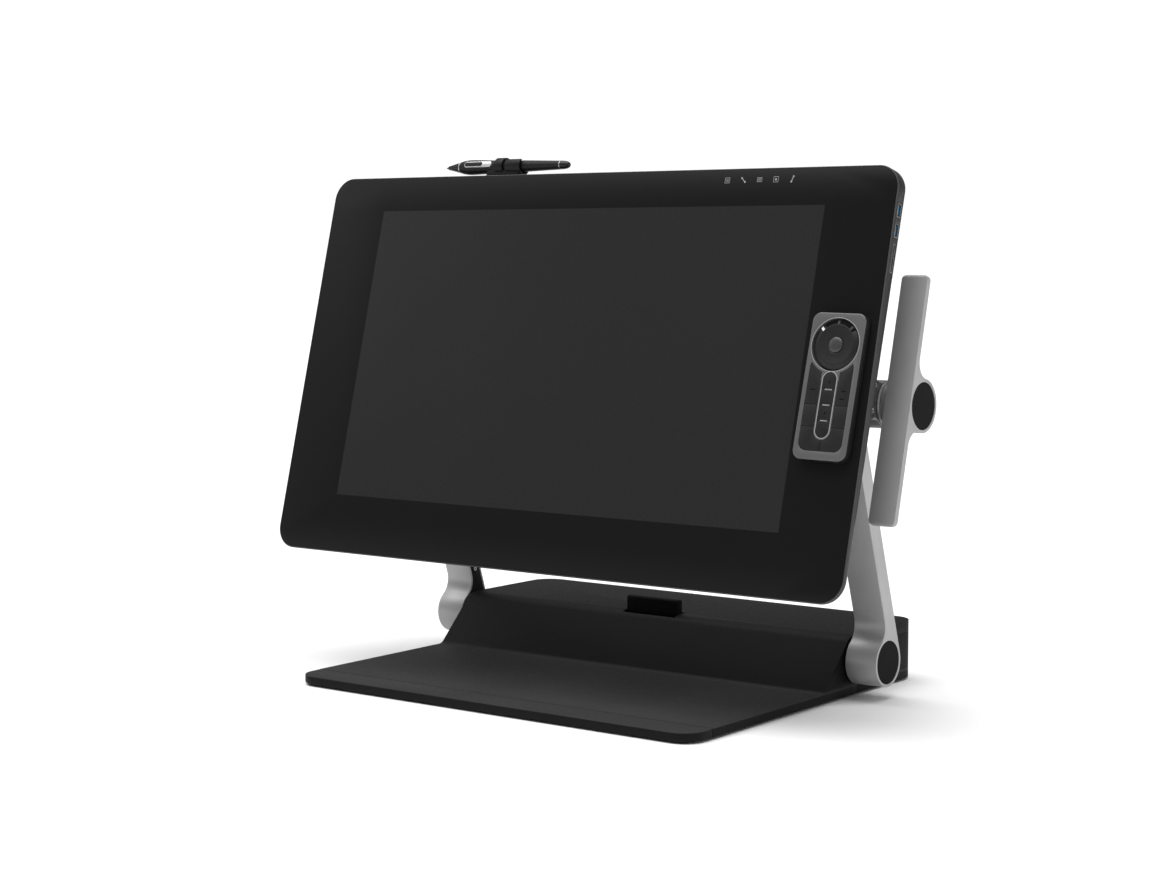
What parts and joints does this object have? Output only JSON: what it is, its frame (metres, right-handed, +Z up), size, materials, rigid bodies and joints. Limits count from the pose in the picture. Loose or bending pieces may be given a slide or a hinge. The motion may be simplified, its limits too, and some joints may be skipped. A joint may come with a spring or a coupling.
{
  "type": "pen drawing tablet",
  "caption": "Large pen display on a heavy ramped base with two folding side arms, release levers, a pen in a clip and a magnetic key remote.",
  "frame": {"origin": "on the table, under the middle of the base's footprint", "axes": "+Z up, -Y towards the user, +X to the user's right"},
  "size_m": [0.69, 0.397, 0.5132],
  "materials": {
    "base_plastic": "fine matt black texture",
    "steel": "dark plated steel",
    "rubber": "matt black rubber",
    "arm_metal": "satin blasted aluminium",
    "brake_metal": "turned aluminium",
    "cap_plastic": "black satin plastic",
    "front_glass": "etched black glass",
    "display_body": "dark grey satin paint",
    "screen_module": "plain grey sheet",
    "circuit_board": "green solder mask",
    "socket_plastic": "blue moulded plastic",
    "remote_silver": "silver satin paint",
    "key_plastic": "dark grey satin plastic",
    "pen_grip": "soft-touch black",
    "pen_silver": "silver satin paint"
  },
  "bodies": {
    "base": {"base_front_trim": "base_plastic", "base_top_cover": "base_plastic", "base_rear_housing": "base_plastic", "base_weight_plate": "steel", "rubber_foot_front": "rubber", "rubber_foot_rear": "rubber", "base_shaft": "steel", "hinge_bracket_left": "steel", "hinge_bracket_right": "steel", "counter_spring_left": "steel", "counter_spring_right": "steel"},
    "latch": {"base_latch": "rubber"},
    "arms": {"arm_left": "arm_metal", "arm_right": "arm_metal", "arm_inner_cover_left": "cap_plastic", "arm_inner_cover_right": "cap_plastic", "arm_hub_cap_left": "cap_plastic", "arm_hub_cap_right": "cap_plastic", "levelling_rod_left": "steel", "levelling_rod_right": "steel"},
    "level_shaft": {"tilt_shaft": "steel", "level_crank_left": "steel", "level_crank_right": "steel"},
    "yoke": {"yoke_crossbar": "brake_metal", "yoke_bracket": "steel", "swivel_ring": "steel", "brake_housing_left": "brake_metal", "brake_housing_right": "brake_metal", "brake_ring_left": "brake_metal", "brake_ring_right": "brake_metal"},
    "lever_left": {"release_lever_left": "arm_metal", "lever_hub_cap_left": "cap_plastic"},
    "lever_right": {"release_lever_right": "arm_metal", "lever_hub_cap_right": "cap_plastic"},
    "display": {"display_glass": "front_glass", "display_frame": "display_body", "display_rear_cover": "display_body", "screen_panel": "screen_module", "main_board": "circuit_board", "swivel_hub": "brake_metal", "pen_holder": "display_body", "usb_socket_upper": "socket_plastic", "usb_socket_lower": "socket_plastic", "card_socket": "steel"},
    "remote": {"remote_shell": "remote_silver", "touch_ring": "key_plastic"},
    "ring_button": {"ring_button": "key_plastic"},
    "side_key_upper_left": {"side_key_upper_left": "key_plastic"},
    "side_key_upper_right": {"side_key_upper_right": "key_plastic"},
    "side_key_middle_left": {"side_key_middle_left": "key_plastic"},
    "side_key_middle_right": {"side_key_middle_right": "key_plastic"},
    "side_key_lower_left": {"side_key_lower_left": "key_plastic"},
    "side_key_lower_right": {"side_key_lower_right": "key_plastic"},
    "centre_key_1": {"centre_key_1": "key_plastic"},
    "centre_key_2": {"centre_key_2": "key_plastic"},
    "centre_key_3": {"centre_key_3": "key_plastic"},
    "centre_key_4": {"centre_key_4": "key_plastic"},
    "pen": {"pen_body": "pen_grip"},
    "pen_nib": {"pen_nib": "pen_grip"},
    "pen_switch": {"pen_switch": "pen_silver"}
  },
  "joints": [
    {"name": "arm_swing", "type": "hinge", "parent": "base", "child": "arms", "pos_m": [0, 0.0785, 0.0357], "axis": [1, 0, 0], "range_deg": [-4, 60]},
    {"name": "levelling", "type": "hinge", "parent": "arms", "child": "level_shaft", "pos_m": [0, -0.003, 0.28419], "axis": [1, 0, 0], "range_deg": [-101, 7]},
    {"name": "display_tilt", "type": "hinge", "parent": "level_shaft", "child": "yoke", "pos_m": [0, -0.003, 0.28419], "axis": [-1, 0, 0], "range_deg": [-3, 30]},
    {"name": "display_turn", "type": "hinge", "parent": "yoke", "child": "display", "pos_m": [0, -0.02966, 0.29635], "axis": [0, -0.9677, 0.2522], "range_deg": [-20, 20]},
    {"name": "lever_left_pull", "type": "hinge", "parent": "yoke", "child": "lever_left", "pos_m": [0, -0.003, 0.28419], "axis": [1, 0, 0], "range_deg": [-5, 5], "stiffness_Nm_per_rad": 4},
    {"name": "lever_right_pull", "type": "hinge", "parent": "yoke", "child": "lever_right", "pos_m": [0, -0.003, 0.28419], "axis": [1, 0, 0], "range_deg": [-5, 5], "stiffness_Nm_per_rad": 4},
    {"name": "latch_push", "type": "hinge", "parent": "base", "child": "latch", "pos_m": [0, 0.0778, 0.054], "axis": [-1, 0, 0], "range_deg": [0, 18], "stiffness_Nm_per_rad": 0.6},
    {"name": "remote_lift", "type": "slide", "parent": "display", "child": "remote", "axis": [0, -0.9677, 0.2522], "range_m": [0, 0.05]},
    {"name": "ring_button_press", "type": "slide", "parent": "remote", "child": "ring_button", "axis": [0, 0.9677, -0.2522], "range_m": [0, 0.0006], "stiffness_N_per_m": 300},
    {"name": "side_key_upper_left_press", "type": "slide", "parent": "remote", "child": "side_key_upper_left", "axis": [0, 0.9677, -0.2522], "range_m": [0, 0.0008], "stiffness_N_per_m": 300},
    {"name": "side_key_upper_right_press", "type": "slide", "parent": "remote", "child": "side_key_upper_right", "axis": [0, 0.9677, -0.2522], "range_m": [0, 0.0008], "stiffness_N_per_m": 300},
    {"name": "side_key_middle_left_press", "type": "slide", "parent": "remote", "child": "side_key_middle_left", "axis": [0, 0.9677, -0.2522], "range_m": [0, 0.0008], "stiffness_N_per_m": 300},
    {"name": "side_key_middle_right_press", "type": "slide", "parent": "remote", "child": "side_key_middle_right", "axis": [0, 0.9677, -0.2522], "range_m": [0, 0.0008], "stiffness_N_per_m": 300},
    {"name": "side_key_lower_left_press", "type": "slide", "parent": "remote", "child": "side_key_lower_left", "axis": [0, 0.9677, -0.2522], "range_m": [0, 0.0008], "stiffness_N_per_m": 300},
    {"name": "side_key_lower_right_press", "type": "slide", "parent": "remote", "child": "side_key_lower_right", "axis": [0, 0.9677, -0.2522], "range_m": [0, 0.0008], "stiffness_N_per_m": 300},
    {"name": "centre_key_1_press", "type": "slide", "parent": "remote", "child": "centre_key_1", "axis": [0, 0.9677, -0.2522], "range_m": [0, 0.0008], "stiffness_N_per_m": 300},
    {"name": "centre_key_2_press", "type": "slide", "parent": "remote", "child": "centre_key_2", "axis": [0, 0.9677, -0.2522], "range_m": [0, 0.0008], "stiffness_N_per_m": 300},
    {"name": "centre_key_3_press", "type": "slide", "parent": "remote", "child": "centre_key_3", "axis": [0, 0.9677, -0.2522], "range_m": [0, 0.0008], "stiffness_N_per_m": 300},
    {"name": "centre_key_4_press", "type": "slide", "parent": "remote", "child": "centre_key_4", "axis": [0, 0.9677, -0.2522], "range_m": [0, 0.0008], "stiffness_N_per_m": 300},
    {"name": "pen_pull", "type": "slide", "parent": "display", "child": "pen", "axis": [-1, 0, 0], "range_m": [0, 0.1]},
    {"name": "pen_nib_press", "type": "slide", "parent": "pen", "child": "pen_nib", "axis": [1, 0, 0], "range_m": [0, 0.0008], "stiffness_N_per_m": 400},
    {"name": "pen_switch_rock", "type": "hinge", "parent": "pen", "child": "pen_switch", "pos_m": [-0.145, -0.01609, 0.50764], "axis": [0, -0.568, -0.823], "range_deg": [-2.5, 2.5], "stiffness_Nm_per_rad": 0.05}
  ],
  "couplings": [
    {"joint": "levelling", "follows": "arm_swing", "ratio": -1.67}
  ]
}
